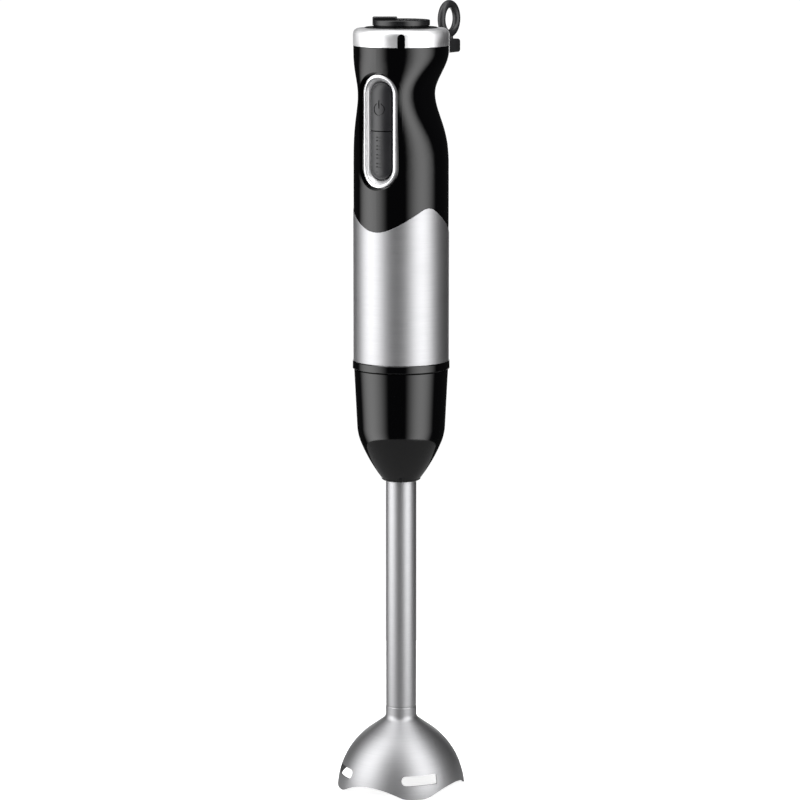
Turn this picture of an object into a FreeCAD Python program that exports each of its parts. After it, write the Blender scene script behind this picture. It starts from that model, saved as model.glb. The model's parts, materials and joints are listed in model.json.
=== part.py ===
"""Immersion blender, in millimetres.

The drive axis is Z. The feet of the bell stand on Z = 0, the buttons face -Y and the cord gland faces +Y.
"""
import FreeCAD, Part
import math
import os

V = FreeCAD.Vector

# ---------------------------------------------------------------- driving dimensions

# heights along the drive axis
Z_NECK_TOP = 43.2             # top of the bell's neck, where the tube starts
Z_CONE_BOTTOM = 165.3
Z_CONE_TOP = 224.7
Z_COLLAR_BOTTOM = 225.0
Z_SLEEVE_BOTTOM = 229.1
Z_WAVE_FRONT = 298.3          # lowest point of the front lobe of the wavy edge
Z_RING_BOTTOM = 393.2
Z_RING_WALL_TOP = 399.2
Z_RING_TOP = 402.3
Z_DIAL_BOTTOM = 401.2
Z_DIAL_TOP = 406.4
DIAL_BAR_HEIGHT = 1.5

# radii
R_BODY = 25.0                 # steel sleeve, grip above and below the waist, chrome ring
R_COLLAR = 25.6
R_TUBE = 8.0
TUBE_WALL = 0.8
R_BELL = 33.8
BELL_WALL = 0.8
R_SHAFT = 2.5
R_DIAL = 14.9
R_PLATE = 18.8

# walls and clearances
SLEEVE_WALL = 0.6
GRIP_WALL = 2.2
R_CHASSIS = 22.4
CHASSIS_WALL = 1.2
CHASSIS_SCREW_X = 18.3
CHASSIS_SCREW_Z = 310.0
SHAFT_RUN = 0.04              # radial running clearance of the two shafts in their bushes
GAP = 0.35                    # gap between bodies that move past each other

# grip: round at both ends, closed in to a flat-sided waist between them
Z_WAIST_LOW = 325.0
Z_WAIST = 368.5
Z_WAIST_HIGH = 390.5
WAIST_STEP = 3.625            # height between the sections of the loft, about
WAIST_DEPTH = 20.9            # half depth of the section at the waist
WAIST_SIDE = 17.3             # half width there
WAIST_SHIFT = 4.56            # how far its centre moves to the front
WAIST_SQUARE = 0.8            # how far the superellipse's exponent rises above 2
SECTION_POINTS = 24

# bell rim
SCALLOP_HEIGHT = 5.5
SCALLOP_HALF_ANGLE = 43.0
SHOULDER_R = 15.0             # rounding between a scallop and the feet beside it
SHOULDER_DIP = 0.03           # how far below the feet the rounding runs out
SLOT_FIRST_ANGLE = 32.0       # measured from the front towards +X
SLOT_SPAN = 34.0
SLOT_LOW = 7.3
SLOT_HIGH = 12.2

# buttons
BUTTON_CENTRE_Z = 350.2
BEZEL_WIDTH = 20.9
BEZEL_HEIGHT = 58.4
BEZEL_RIM = 1.7
BEZEL_DRAFT = 2.2             # how far the inner wall leans in, down to the keys
BEZEL_SLOPE = 0.63            # how steeply it leans
BEZEL_THROAT_Y = -19.4        # where that slope ends
BEZEL_FACE_R = 23.2           # the bezel's face lies on this cylinder about the drive axis
BEZEL_BACK_Y = -16.0
POCKET_MARGIN = 1.2           # recess in the grip round the bezel
POCKET_FLOOR_Y = -20.7
KEY_CROWN_Y = -22.2
KEY_DOME_R = 10.5
KEY_BACK_Y = -14.0
KEY_SPLIT = 0.5
MARK_DEPTH = 0.45
BOARD_FRONT_Y = -9.4          # switch board
BOARD_THICK = 1.6
SWITCH_DEPTH = 2.7
SWITCH_HEIGHTS = {"power": BUTTON_CENTRE_Z + 12.0, "boost": BUTTON_CENTRE_Z - 12.0}
FLANGE_REACH = 0.8            # how far the keys' flanges reach behind the bezel

# bayonet between the motor body and the leg
R_BOSS = 18.4
R_BOSS_BORE = 14.5
Z_BOSS_BOTTOM = 209.0
R_LUG = 21.0
LUG_COUNT = 3
LUG_SPAN = 22.0
LUG_LOW = 209.5
LUG_HIGH = 212.5
TWIST = 30.0

# motor
Z_STATOR_LOW = 252.0
Z_STATOR_HIGH = 282.0
R_STATOR = 20.0
R_STATOR_BORE = 12.6
R_POLE_SLOT = 16.9
R_ARMATURE = 12.2
POLE_HALF_ANGLE = 50.0
SLOT_COUNT = 12
R_COMMUTATOR = 7.0
Z_BRUSH = 293.0
LOWER_BRACKET_Z = 233.6
UPPER_BRACKET_Z = 299.0
BRACKET_THICK = 3.0
R_BRACKET = 20.6
BUSH_R = 5.0
BOLT_CIRCLE = 18.3
BOLT_HOLE_R = 1.45
BOLT_R = 1.3
BOLT_SPOTS = [(0.0, BOLT_CIRCLE), (0.0, -BOLT_CIRCLE)]
DOG_SPAN = 54.0               # angle of each dog of the couplings
R_DOG = 7.4

# rear
GLAND_LOW = 387.3
GLAND_HIGH = 394.4
GLAND_WIDTH = 10.4
GLAND_START_Y = 18.0
GLAND_BORE_Y = 23.3           # the cord is gripped from here outwards
GLAND_CHEEK = 1.6             # wall beside the open inner end
GLAND_ROUND = 1.4
GLAND_END_Y = 53.0
R_CORD_BORE = 2.6
LOOP_Y = 49.1
LOOP_Z = 404.8
LOOP_R = 7.8
LOOP_WIRE_R = 2.1
LOOP_STEM_R = 1.9
LOOP_STEM_Y = 49.7
CLAMP_Y = 14.5                # cord clamp under the top plate
CLAMP_LOW = 385.8
CLAMP_SCREW_X = 6.5
CLAMP_SCREW_R = 1.1

INDEX_ANGLE = 31.0            # the index tongue, from the front towards +X
DIAL_BAR_ANGLE = -59.0


# ---------------------------------------------------------------- shape helpers

def cylinder(radius, low, high, x=0.0, y=0.0):
    return Part.makeCylinder(radius, high - low, V(x, y, low))


def tube(r_in, r_out, low, high, x=0.0, y=0.0):
    return cylinder(r_out, low, high, x, y).cut(cylinder(r_in, low - 1, high + 1, x, y))


def block(x0, x1, y0, y1, z0, z1):
    return Part.makeBox(x1 - x0, y1 - y0, z1 - z0, V(x0, y0, z0))


def rod_y(radius, y0, y1, x, z):
    return Part.makeCylinder(radius, y1 - y0, V(x, y0, z), V(0, 1, 0))


def fuse(shapes):
    joined = shapes[0]
    for shape in shapes[1:]:
        joined = joined.fuse(shape)
    return joined.removeSplitter()


def cut_all(shape, tools):
    for tool in tools:
        shape = shape.cut(tool)
    return shape


def turned(shape, degrees):
    """A copy of the shape, turned about the drive axis. What is made at the front turns towards +X."""
    copy = shape.copy()
    copy.rotate(V(0, 0, 0), V(0, 0, 1), degrees)
    return copy


def revolve(steps):
    """Solid of revolution. A step is (r, z) for a line or (r_mid, z_mid, r, z) for an arc."""
    edges = []
    start = V(steps[0][0], 0, steps[0][1])
    here = start
    for step in steps[1:]:
        there = V(step[-2], 0, step[-1])
        if len(step) == 4:
            edges.append(Part.Arc(here, V(step[0], 0, step[1]), there).toShape())
        else:
            edges.append(Part.LineSegment(here, there).toShape())
        here = there
    if here.distanceToPoint(start) > 1e-6:
        edges.append(Part.LineSegment(here, start).toShape())
    return Part.Face(Part.Wire(edges)).revolve(V(0, 0, 0), V(0, 0, 1), 360)


def sector(r_in, r_out, first, last, low, high):
    """Part of a ring, between two angles from +X."""
    pie = Part.makeCylinder(r_out, high - low, V(0, 0, low), V(0, 0, 1), last - first)
    pie.rotate(V(0, 0, 0), V(0, 0, 1), first)
    return pie.cut(cylinder(r_in, low - 1, high + 1))


def oblong(width, height, y0, y1):
    """Upright plate with round ends, from y0 to y1, about the middle of the buttons."""
    radius = width / 2
    reach = height / 2 - radius
    middle = block(-radius, radius, y0, y1, BUTTON_CENTRE_Z - reach, BUTTON_CENTRE_Z + reach)
    ends = [rod_y(radius, y0, y1, 0, BUTTON_CENTRE_Z + side * reach) for side in (-1, 1)]
    return fuse([middle] + ends)


def hexagon(across_flats, low, high):
    corner = across_flats / math.sqrt(3)
    points = [V(corner * math.cos(math.radians(60 * k)), corner * math.sin(math.radians(60 * k)), low)
              for k in range(7)]
    return Part.Face(Part.makePolygon(points)).extrude(V(0, 0, high - low))


def coil_spring(radius, wire, pitch, length, start, axis):
    """Helical compression spring that starts at a point and runs along an axis."""
    helix = Part.makeHelix(pitch, length, radius)
    section = Part.Wire(Part.Circle(V(radius, 0, 0), V(0, 1, 0), wire).toShape())
    spring = Part.Wire(helix.Edges).makePipeShell([section], True, True)
    spring.Placement = FreeCAD.Placement(start, FreeCAD.Rotation(V(0, 0, 1), axis))
    return spring


def screw(head_r, head_h, shank_r, length, base, axis):
    """Screw whose head rests on base and whose shank runs along axis."""
    head = Part.makeCylinder(head_r, head_h, V(0, 0, -head_h))
    slot = block(-head_r, head_r, -0.4, 0.4, -head_h - 1, -head_h * 0.6)
    cross = block(-0.4, 0.4, -head_r, head_r, -head_h - 1, -head_h * 0.6)
    shank = Part.makeCylinder(shank_r, length)
    body = fuse([head, shank]).cut(slot).cut(cross)
    body.Placement = FreeCAD.Placement(base, FreeCAD.Rotation(V(0, 0, 1), axis))
    return body


# ---------------------------------------------------------------- grip housing

def wave_tool():
    """Everything below the wavy edge: one outline in the YZ plane, drawn out along X."""
    z = Z_WAVE_FRONT
    front = V(-60, -27.0, z - 3.4)
    front_low = V(-60, -R_BODY, z)
    front_mid = V(-60, -19.9, z + 6.2)
    crest_front = V(-60, -13.3, z + 11.5)
    crest = V(-60, -9.6, z + 12.35)
    crest_rear = V(-60, -6.0, z + 10.9)
    rear = V(-60, 30.0, z - 15.5)
    floor_rear = V(-60, 30.0, 150.0)
    floor_front = V(-60, -27.0, 150.0)
    edges = [
        Part.LineSegment(front, front_low).toShape(),
        Part.Arc(front_low, front_mid, crest_front).toShape(),
        Part.Arc(crest_front, crest, crest_rear).toShape(),
        Part.LineSegment(crest_rear, rear).toShape(),
        Part.LineSegment(rear, floor_rear).toShape(),
        Part.LineSegment(floor_rear, floor_front).toShape(),
        Part.LineSegment(floor_front, front).toShape(),
    ]
    return Part.Face(Part.Wire(edges)).extrude(V(120, 0, 0))


def smooth(t):
    """Rises from 0 to 1 with level ends."""
    return t * t * (3 - 2 * t)


def waist_closing(height):
    """How far the grip has closed in at a height, from 0 to 1 at the waist."""
    if height < Z_WAIST:
        return smooth((height - Z_WAIST_LOW) / (Z_WAIST - Z_WAIST_LOW)) ** 2.1
    return smooth((Z_WAIST_HIGH - height) / (Z_WAIST_HIGH - Z_WAIST))


def waist_heights():
    lower = round((Z_WAIST - Z_WAIST_LOW) / WAIST_STEP)
    upper = round((Z_WAIST_HIGH - Z_WAIST) / WAIST_STEP)
    heights = [Z_WAIST_LOW + (Z_WAIST - Z_WAIST_LOW) * k / lower for k in range(lower)]
    return heights + [Z_WAIST + (Z_WAIST_HIGH - Z_WAIST) * k / upper for k in range(upper + 1)]


def grip_section(height, inset):
    """Section of the grip: a circle that turns into a narrow superellipse, moved to the front."""
    closed = waist_closing(height)
    depth = R_BODY + (WAIST_DEPTH - R_BODY) * closed - inset
    width = R_BODY + (WAIST_SIDE - R_BODY) * closed - inset
    power = 2 / (2 + WAIST_SQUARE * closed)
    centre = V(0, -WAIST_SHIFT * closed, height)
    points = []
    for k in range(SECTION_POINTS):
        angle = 2 * math.pi * k / SECTION_POINTS
        across = math.copysign(abs(math.sin(angle)) ** power, math.sin(angle))
        ahead = math.copysign(abs(math.cos(angle)) ** power, math.cos(angle))
        points.append(centre + V(width * across, -depth * ahead, 0))
    curve = Part.BSplineCurve()
    curve.interpolate(Points=points, PeriodicFlag=True)
    return Part.Wire(curve.toShape())


def grip_core(inset, bottom, top):
    """Grip solid between two heights, drawn in by the inset."""
    sections = [grip_section(height, inset) for height in waist_heights()]
    waist = Part.makeLoft(sections, True, False)
    lower = Part.Face(sections[0]).extrude(V(0, 0, bottom - Z_WAIST_LOW))
    upper = Part.Face(sections[-1]).extrude(V(0, 0, top - Z_WAIST_HIGH))
    return lower.fuse(waist).fuse(upper)


def index_tongue(radius, spread, extra):
    """Tongue with a round top that rises from the grip in front of the chrome ring."""
    half = 1.95 + spread
    top = Z_RING_BOTTOM + 4.9
    plate = block(-half, half, -radius, -22.0, Z_RING_BOTTOM - extra, top)
    head = rod_y(half, -radius, -22.0, 0, top)
    return turned(fuse([plate, head]), INDEX_ANGLE)


def gland_envelope(spread):
    half = GLAND_WIDTH / 2 + spread
    return block(-half, half, GLAND_START_Y, GLAND_END_Y, GLAND_LOW - spread, GLAND_HIGH + spread)


def make_grip_housing(wave):
    outer = grip_core(0.0, 270.0, Z_RING_BOTTOM)
    inner = grip_core(GRIP_WALL, 269.0, Z_RING_BOTTOM + 1)
    neck = tube(21.4, 23.0, 390.0, 398.2)
    shell = outer.cut(inner).fuse(neck)
    tongue = index_tongue(R_BODY + 0.15, 0.0, 0.6)
    tongue = tongue.cut(cylinder(23.0, 380, 410)).common(cylinder(R_BODY + 0.12, 380, 410))
    shell = shell.fuse(tongue)
    pocket = oblong(BEZEL_WIDTH + 2 * POCKET_MARGIN, BEZEL_HEIGHT + 2 * POCKET_MARGIN, -40, POCKET_FLOOR_Y)
    opening = oblong(BEZEL_WIDTH, BEZEL_HEIGHT, -40, -12)
    liner = oblong(BEZEL_WIDTH + 6.0, BEZEL_HEIGHT + 6.0, -23.2, -18.4).common(outer)
    shell = shell.fuse(liner).cut(pocket).cut(opening)
    return shell.cut(wave).cut(gland_envelope(0.0))


def make_steel_sleeve(wave):
    return tube(R_BODY - SLEEVE_WALL, R_BODY, Z_SLEEVE_BOTTOM, 320).common(wave)


def make_chrome_top_ring():
    inner_top = R_PLATE
    ring = revolve([
        (23.0, Z_RING_BOTTOM), (R_BODY, Z_RING_BOTTOM), (R_BODY, Z_RING_WALL_TOP),
        (R_BODY - 0.95, Z_RING_WALL_TOP + 2.05, R_BODY - 3.2, Z_RING_TOP - 0.25),
        (inner_top + 0.3, Z_RING_TOP), (inner_top, Z_RING_TOP - 0.2), (inner_top, 400.8),
        (21.4, 400.8), (23.0, 398.6),
    ])
    return ring.cut(index_tongue(R_BODY + 2, 0.0, 2.0)).cut(gland_envelope(0.0))


def make_top_plate():
    plate = revolve([
        (4.6, 398.2), (21.2, 398.2), (21.2, 400.6), (R_PLATE, 400.6), (R_PLATE, Z_RING_TOP + 0.2),
        (R_PLATE - 0.3, Z_RING_TOP + 0.35), (15.7, Z_RING_TOP + 0.35), (15.5, Z_RING_TOP + 0.1),
        (15.5, 400.7), (4.6, 400.7),
    ])
    bosses = [cylinder(2.4, 389.0, 399.0, side * CLAMP_SCREW_X, CLAMP_Y) for side in (-1, 1)]
    holes = [cylinder(CLAMP_SCREW_R, 388.0, 397.0, side * CLAMP_SCREW_X, CLAMP_Y) for side in (-1, 1)]
    return cut_all(fuse([plate] + bosses), holes)


# ---------------------------------------------------------------- dial and its control

def make_speed_dial():
    knob = revolve([
        (0.0, Z_DIAL_BOTTOM), (R_DIAL - 1.5, Z_DIAL_BOTTOM), (R_DIAL - 0.35, Z_DIAL_BOTTOM + 1.9),
        (R_DIAL - 0.7, Z_DIAL_BOTTOM + 2.15), (R_DIAL, Z_DIAL_BOTTOM + 2.5), (R_DIAL, Z_DIAL_TOP - 0.5),
        (R_DIAL - 0.15, Z_DIAL_TOP - 0.15, R_DIAL - 0.5, Z_DIAL_TOP), (0.0, Z_DIAL_TOP),
    ])
    bar = block(-3.0, 3.0, -20.0, -2.0, Z_DIAL_TOP - 1, Z_DIAL_TOP + DIAL_BAR_HEIGHT)
    bar = turned(bar.common(cylinder(R_DIAL, 380, 420)), DIAL_BAR_ANGLE)
    stem = cylinder(4.1, 397.4, Z_DIAL_BOTTOM + 1)
    return fuse([knob, bar, stem]).cut(cylinder(3.0, 390, 403.5))


def make_dial_spindle():
    groove = tube(2.6, 4.0, 391.0, 391.8)
    return cylinder(3.0, 388.6, 403.5).cut(groove)


def make_speed_control():
    case = block(-8.0, 8.0, -8.0, 8.0, 388.0, 394.0)
    bushing = cylinder(4.4, 394.0, 396.9)
    pins = [block(x - 0.4, x + 0.4, -11.0, -7.5, 389.0, 389.6) for x in (-4.0, 0.0, 4.0)]
    return fuse([case, bushing] + pins).cut(cylinder(3.05, 388.3, 400))


# ---------------------------------------------------------------- buttons

def oblong_wire(width, height, y):
    """Outline of the same upright shape at one depth."""
    radius = width / 2
    reach = height / 2 - radius
    low = BUTTON_CENTRE_Z - reach
    high = BUTTON_CENTRE_Z + reach
    return Part.Wire([
        Part.LineSegment(V(-radius, y, low), V(-radius, y, high)).toShape(),
        Part.Arc(V(-radius, y, high), V(0, y, high + radius), V(radius, y, high)).toShape(),
        Part.LineSegment(V(radius, y, high), V(radius, y, low)).toShape(),
        Part.Arc(V(radius, y, low), V(0, y, low - radius), V(-radius, y, low)).toShape(),
    ])


def make_button_bezel():
    """Frame with a flat rim and an inner wall that leans in towards the keys."""
    outer = oblong(BEZEL_WIDTH, BEZEL_HEIGHT, -40, BEZEL_BACK_Y)
    mouth_width = BEZEL_WIDTH - 2 * BEZEL_RIM
    mouth_height = BEZEL_HEIGHT - 2 * BEZEL_RIM
    mouth_depth = 4.4
    flare = BEZEL_SLOPE * mouth_depth
    throat_width = mouth_width - 2 * BEZEL_DRAFT
    throat_height = mouth_height - 2 * BEZEL_DRAFT
    slope = Part.makeLoft([
        oblong_wire(throat_width, throat_height, BEZEL_THROAT_Y),
        oblong_wire(throat_width + 2 * flare, throat_height + 2 * flare, BEZEL_THROAT_Y - mouth_depth),
    ], True, True)
    throat = oblong(throat_width, throat_height, BEZEL_THROAT_Y - 0.01, BEZEL_BACK_Y + 1)
    face = cylinder(BEZEL_FACE_R, 300, 400)
    return outer.cut(slope).cut(throat).common(face)


def key_blank(side):
    """Domed key above (side 1) or below (side -1) the split, with a flange that holds it in."""
    inset = 2 * (BEZEL_RIM + BEZEL_DRAFT + GAP)
    width = BEZEL_WIDTH - inset
    height = BEZEL_HEIGHT - inset
    end = height / 2 - width / 2
    centre_y = KEY_CROWN_Y + KEY_DOME_R
    low = V(0, centre_y, BUTTON_CENTRE_Z - end)
    dome = fuse([
        Part.makeCylinder(KEY_DOME_R, 2 * end, low),
        Part.makeSphere(KEY_DOME_R, low),
        Part.makeSphere(KEY_DOME_R, low + V(0, 0, 2 * end)),
    ])
    body = oblong(width, height, -30, KEY_BACK_Y).common(dome)
    flange = oblong(width + 2 * FLANGE_REACH, height + 2 * FLANGE_REACH, KEY_BACK_Y - 1.2, KEY_BACK_Y)
    half = KEY_SPLIT / 2
    if side > 0:
        keep = block(-20, 20, -40, 0, BUTTON_CENTRE_Z + half, 420)
    else:
        keep = block(-20, 20, -40, 0, 280, BUTTON_CENTRE_Z - half)
    return fuse([body, flange]).common(keep)


def make_power_key():
    """The upper key, with the on symbol sunk into its dome."""
    centre_z = BUTTON_CENTRE_Z + 11.3
    ring = rod_y(3.3, -30, -10, 0, centre_z).cut(rod_y(2.75, -31, -9, 0, centre_z))
    ring = ring.cut(block(-1.1, 1.1, -31, -9, centre_z, centre_z + 6))
    stroke = block(-0.3, 0.3, -30, -10, centre_z + 0.4, centre_z + 4.6)
    mark = ring.fuse(stroke).cut(Part.makeCylinder(KEY_DOME_R - MARK_DEPTH, 100,
                                                   V(0, KEY_CROWN_Y + KEY_DOME_R, 300)))
    return key_blank(1).cut(mark)


def make_boost_key():
    """The lower key, with a column of five marks sunk into its dome, each two short grooves."""
    floor = Part.makeCylinder(KEY_DOME_R - MARK_DEPTH, 100, V(0, KEY_CROWN_Y + KEY_DOME_R, 300))
    key = key_blank(-1)
    for k in range(5):
        for offset in (-0.85, 0.85):
            z = BUTTON_CENTRE_Z - 3.9 - 4.5 * k + offset
            key = key.cut(block(-1.5, 1.5, -30, -10, z - 0.35, z + 0.35).cut(floor))
    return key


def make_key_frame():
    rim = oblong(24.0, 61.4, -17.4, BOARD_FRONT_Y)
    seat = oblong(BEZEL_WIDTH, BEZEL_HEIGHT, -20, BEZEL_BACK_Y)
    hole = oblong(19.6, 57.0, -20, 0)
    return rim.cut(seat).cut(hole)


def make_switch_board():
    return block(-10.5, 10.5, BOARD_FRONT_Y, BOARD_FRONT_Y + BOARD_THICK, 324.0, 376.0)


def make_switch(height):
    front = BOARD_FRONT_Y - SWITCH_DEPTH
    return block(-3.1, 3.1, front, BOARD_FRONT_Y, height - 3.1, height + 3.1).cut(
        rod_y(1.9, front - 1, BOARD_FRONT_Y - 0.05, 0, height))


def make_plunger(height):
    return rod_y(1.84, KEY_BACK_Y, KEY_BACK_Y + 2.6, 0, height)


# ---------------------------------------------------------------- rear: gland and hanging loop

def make_cord_gland():
    body = gland_envelope(0.0)
    edges = [edge for edge in body.Edges if edge.BoundBox.YMin > GLAND_END_Y - 0.1]
    edges += [edge for edge in body.Edges if edge.BoundBox.YLength > 20]
    body = body.makeFillet(GLAND_ROUND, edges)
    half = GLAND_WIDTH / 2 - GLAND_CHEEK
    fork = block(-half, half, 0, GLAND_BORE_Y, GLAND_LOW - 1, GLAND_HIGH + 1)
    return body.cut(fork).cut(rod_y(R_CORD_BORE, 0, 60, 0, (GLAND_LOW + GLAND_HIGH) / 2))


def make_hanging_loop():
    ring = Part.makeTorus(LOOP_R, LOOP_WIRE_R, V(0, LOOP_Y, LOOP_Z), V(1, 0, 0))
    stem_top = LOOP_Z - LOOP_R + 0.6
    stem = cylinder(LOOP_STEM_R, GLAND_HIGH, stem_top, 0, LOOP_STEM_Y)
    return fuse([ring, stem])


def make_cord_clamp():
    bar = block(-9.0, 9.0, CLAMP_Y - 2.1, CLAMP_Y + 2.1, CLAMP_LOW, CLAMP_LOW + 3.0)
    saddle = rod_y(R_CORD_BORE + 0.2, 10, 20, 0, (GLAND_LOW + GLAND_HIGH) / 2)
    holes = [cylinder(1.3, 380, 392, side * CLAMP_SCREW_X, CLAMP_Y) for side in (-1, 1)]
    return cut_all(bar, [saddle] + holes)


def make_cord_clamp_screws():
    return [screw(2.2, 1.5, CLAMP_SCREW_R, 8.0, V(side * CLAMP_SCREW_X, CLAMP_Y, CLAMP_LOW), V(0, 0, 1))
            for side in (-1, 1)]


# ---------------------------------------------------------------- chassis and boards

def chassis_half(side):
    """Half of the inner carrier; side is 1 for the front half and -1 for the rear half."""
    low = 233.2
    high = 316.0
    shell = tube(R_CHASSIS - CHASSIS_WALL, R_CHASSIS, low, high)
    for z in (240.0, 262.0, 279.0):
        shell = shell.fuse(tube(R_CHASSIS - 0.4, R_BODY - SLEEVE_WALL, z, z + 1.8))
    for x in (-CHASSIS_SCREW_X, CHASSIS_SCREW_X):
        boss = rod_y(2.6, -7.0, 7.0, x, CHASSIS_SCREW_Z).common(cylinder(R_CHASSIS, low, high))
        shell = shell.fuse(boss)
        shell = shell.cut(rod_y(1.2, -8.0, 5.0, x, CHASSIS_SCREW_Z))
        shell = shell.cut(rod_y(2.2, -20.0, -7.0, x, CHASSIS_SCREW_Z))
    if side > 0:
        keep = block(-40, 40, -40, 0, 200, 330)
    else:
        keep = block(-40, 40, 0, 40, 200, 330)
    return shell.common(keep).removeSplitter()


def make_chassis_screws():
    return [screw(2.0, 1.4, 1.15, 11.0, V(x, -7.0, CHASSIS_SCREW_Z), V(0, 1, 0))
            for x in (-CHASSIS_SCREW_X, CHASSIS_SCREW_X)]


def make_control_board():
    board = block(-15.0, 15.0, 6.0, 7.6, 318.0, 353.0)
    holes = [rod_y(1.2, 0, 20, x, 335.5) for x in (-12.5, 12.5)]
    return cut_all(board, holes)


def make_capacitor():
    body = block(-9.0, 9.0, 7.6, 14.6, 321.0, 331.0)
    return body.makeFillet(0.8, [edge for edge in body.Edges if edge.BoundBox.YLength > 5])


def make_triac():
    case = block(-5.0, 5.0, -0.4, 4.0, 337.0, 346.0)
    tab = block(-5.0, 5.0, -1.6, -0.4, 337.0, 350.0)
    legs = [block(x - 0.4, x + 0.4, 1.6, 2.2, 333.0, 337.0) for x in (-2.5, 0.0, 2.5)]
    feet = [block(x - 0.4, x + 0.4, 1.6, 6.0, 333.0, 333.6) for x in (-2.5, 0.0, 2.5)]
    return fuse([case, tab] + legs + feet)


def make_heat_sink():
    base = block(-11.0, 11.0, -3.2, -1.6, 336.0, 352.0)
    fins = [block(x - 0.5, x + 0.5, -7.0, -3.2, 336.0, 352.0) for x in (-10.0, -6.0, -2.0, 2.0, 6.0, 10.0)]
    return fuse([base] + fins)


# ---------------------------------------------------------------- lower collar with bayonet boss

def make_lower_collar():
    z = Z_COLLAR_BOTTOM
    collar = revolve([
        (R_BOSS_BORE, Z_BOSS_BOTTOM), (R_BOSS, Z_BOSS_BOTTOM), (R_BOSS, z), (R_COLLAR - 0.4, z),
        (R_COLLAR - 0.1, z + 0.1, R_COLLAR, z + 0.4), (R_COLLAR, Z_SLEEVE_BOTTOM - 0.3),
        (R_COLLAR - 0.3, Z_SLEEVE_BOTTOM), (R_BODY - SLEEVE_WALL, Z_SLEEVE_BOTTOM),
        (R_BODY - SLEEVE_WALL, 233.0), (21.4, 233.0), (21.4, 229.4), (9.0, 229.4), (9.0, 226.4),
        (R_BOSS_BORE, 226.4),
    ])
    lugs = [sector(R_BOSS - 0.5, R_LUG, k * 360 / LUG_COUNT - LUG_SPAN / 2, k * 360 / LUG_COUNT + LUG_SPAN / 2,
                   LUG_LOW, LUG_HIGH) for k in range(LUG_COUNT)]
    return fuse([collar] + lugs)


def make_motor_shaft_seal():
    return tube(R_SHAFT + 0.08, 9.0, 226.4, 229.4)


# ---------------------------------------------------------------- motor

def bracket(low, hub_low, hub_high, bore):
    """Round motor bracket: plate with four windows and a hub for the bush."""
    plate = tube(bore, R_BRACKET, low, low + BRACKET_THICK)
    hub = tube(bore, bore + 3.0, hub_low, hub_high)
    body = fuse([plate, hub])
    for k in range(4):
        body = body.cut(sector(bore + 4.0, 16.6, 90 * k + 15, 90 * k + 75, low - 1, low + 4))
    return cut_all(body, [cylinder(BOLT_HOLE_R, low - 1, low + 4, *spot) for spot in BOLT_SPOTS])


def make_lower_bracket():
    return bracket(LOWER_BRACKET_Z, 231.0, 238.0, BUSH_R)


def make_upper_bracket():
    return bracket(UPPER_BRACKET_Z, UPPER_BRACKET_Z, 305.6, BUSH_R)


def make_motor_bush(low, high):
    return tube(R_SHAFT + SHAFT_RUN, BUSH_R, low, high)


def make_rubber_mount(low):
    return tube(R_BRACKET, R_CHASSIS - CHASSIS_WALL, low - 0.5, low + BRACKET_THICK + 0.5)


def make_motor_bolts():
    top = UPPER_BRACKET_Z + BRACKET_THICK
    length = top - LOWER_BRACKET_Z - 0.5
    return [screw(2.0, 1.8, BOLT_R, length, V(x, y, top), V(0, 0, -1)) for x, y in BOLT_SPOTS]


def make_stator():
    """Two-pole field core: a yoke ring with a pole at +Y and one at -Y."""
    core = tube(R_STATOR_BORE, R_STATOR, Z_STATOR_LOW, Z_STATOR_HIGH)
    for side in (0, 180):
        core = core.cut(sector(R_STATOR_BORE - 1, R_POLE_SLOT, side - 90 + POLE_HALF_ANGLE,
                               side + 90 - POLE_HALF_ANGLE, Z_STATOR_LOW - 1, Z_STATOR_HIGH + 1))
    return cut_all(core, [cylinder(BOLT_HOLE_R, 200, 320, *spot) for spot in BOLT_SPOTS])


def make_field_coils():
    """Two saddle coils, one round each pole."""
    coils = []
    for side in (0, 180):
        ring = sector(R_STATOR_BORE + 0.5, R_POLE_SLOT - 0.2, side + 4, side + 176,
                      Z_STATOR_LOW - 4.5, Z_STATOR_HIGH + 4.5)
        pole = sector(5.0, 30.0, side + 90 - POLE_HALF_ANGLE - 1, side + 90 + POLE_HALF_ANGLE + 1,
                      Z_STATOR_LOW - 0.3, Z_STATOR_HIGH + 0.3)
        coils.append(ring.cut(pole))
    return coils


def armature_slot(k, low, high):
    """Slot in the armature core, open to the rim."""
    wedge = sector(6.2, R_ARMATURE - 0.9, 360 * k / SLOT_COUNT - 9, 360 * k / SLOT_COUNT + 9, low, high)
    mouth = turned(block(6.5, R_ARMATURE + 1, -0.7, 0.7, low, high), 360 * k / SLOT_COUNT)
    return wedge, mouth


def make_armature_core():
    core = tube(R_SHAFT, R_ARMATURE, Z_STATOR_LOW, Z_STATOR_HIGH)
    for k in range(SLOT_COUNT):
        core = cut_all(core, armature_slot(k, Z_STATOR_LOW - 1, Z_STATOR_HIGH + 1))
    return core


def make_armature_winding():
    """Copper that fills the slots, with a round bundle at each end."""
    lower_end = revolve([(4.0, 247.6), (9.5, 247.6), (11.2, 248.2, 11.3, 250.2), (11.3, 252.0), (4.0, 252.0)])
    upper_end = revolve([(4.0, 282.0), (11.3, 282.0), (11.3, 283.6), (11.0, 286.0, 9.0, 286.6), (4.0, 286.6)])
    bars = [armature_slot(k, Z_STATOR_LOW - 0.5, Z_STATOR_HIGH + 0.5)[0] for k in range(SLOT_COUNT)]
    return fuse([lower_end, upper_end] + bars)


def make_commutator():
    body = tube(R_SHAFT, R_COMMUTATOR, 288.2, 298.0)
    riser = tube(R_SHAFT, R_COMMUTATOR + 1.0, 286.8, 288.4)
    body = fuse([body, riser])
    for k in range(SLOT_COUNT):
        groove = turned(block(R_COMMUTATOR - 0.8, R_COMMUTATOR + 2, -0.2, 0.2, 286.0, 299.0),
                        360 * (k + 0.5) / SLOT_COUNT)
        body = body.cut(groove)
    return body


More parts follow.
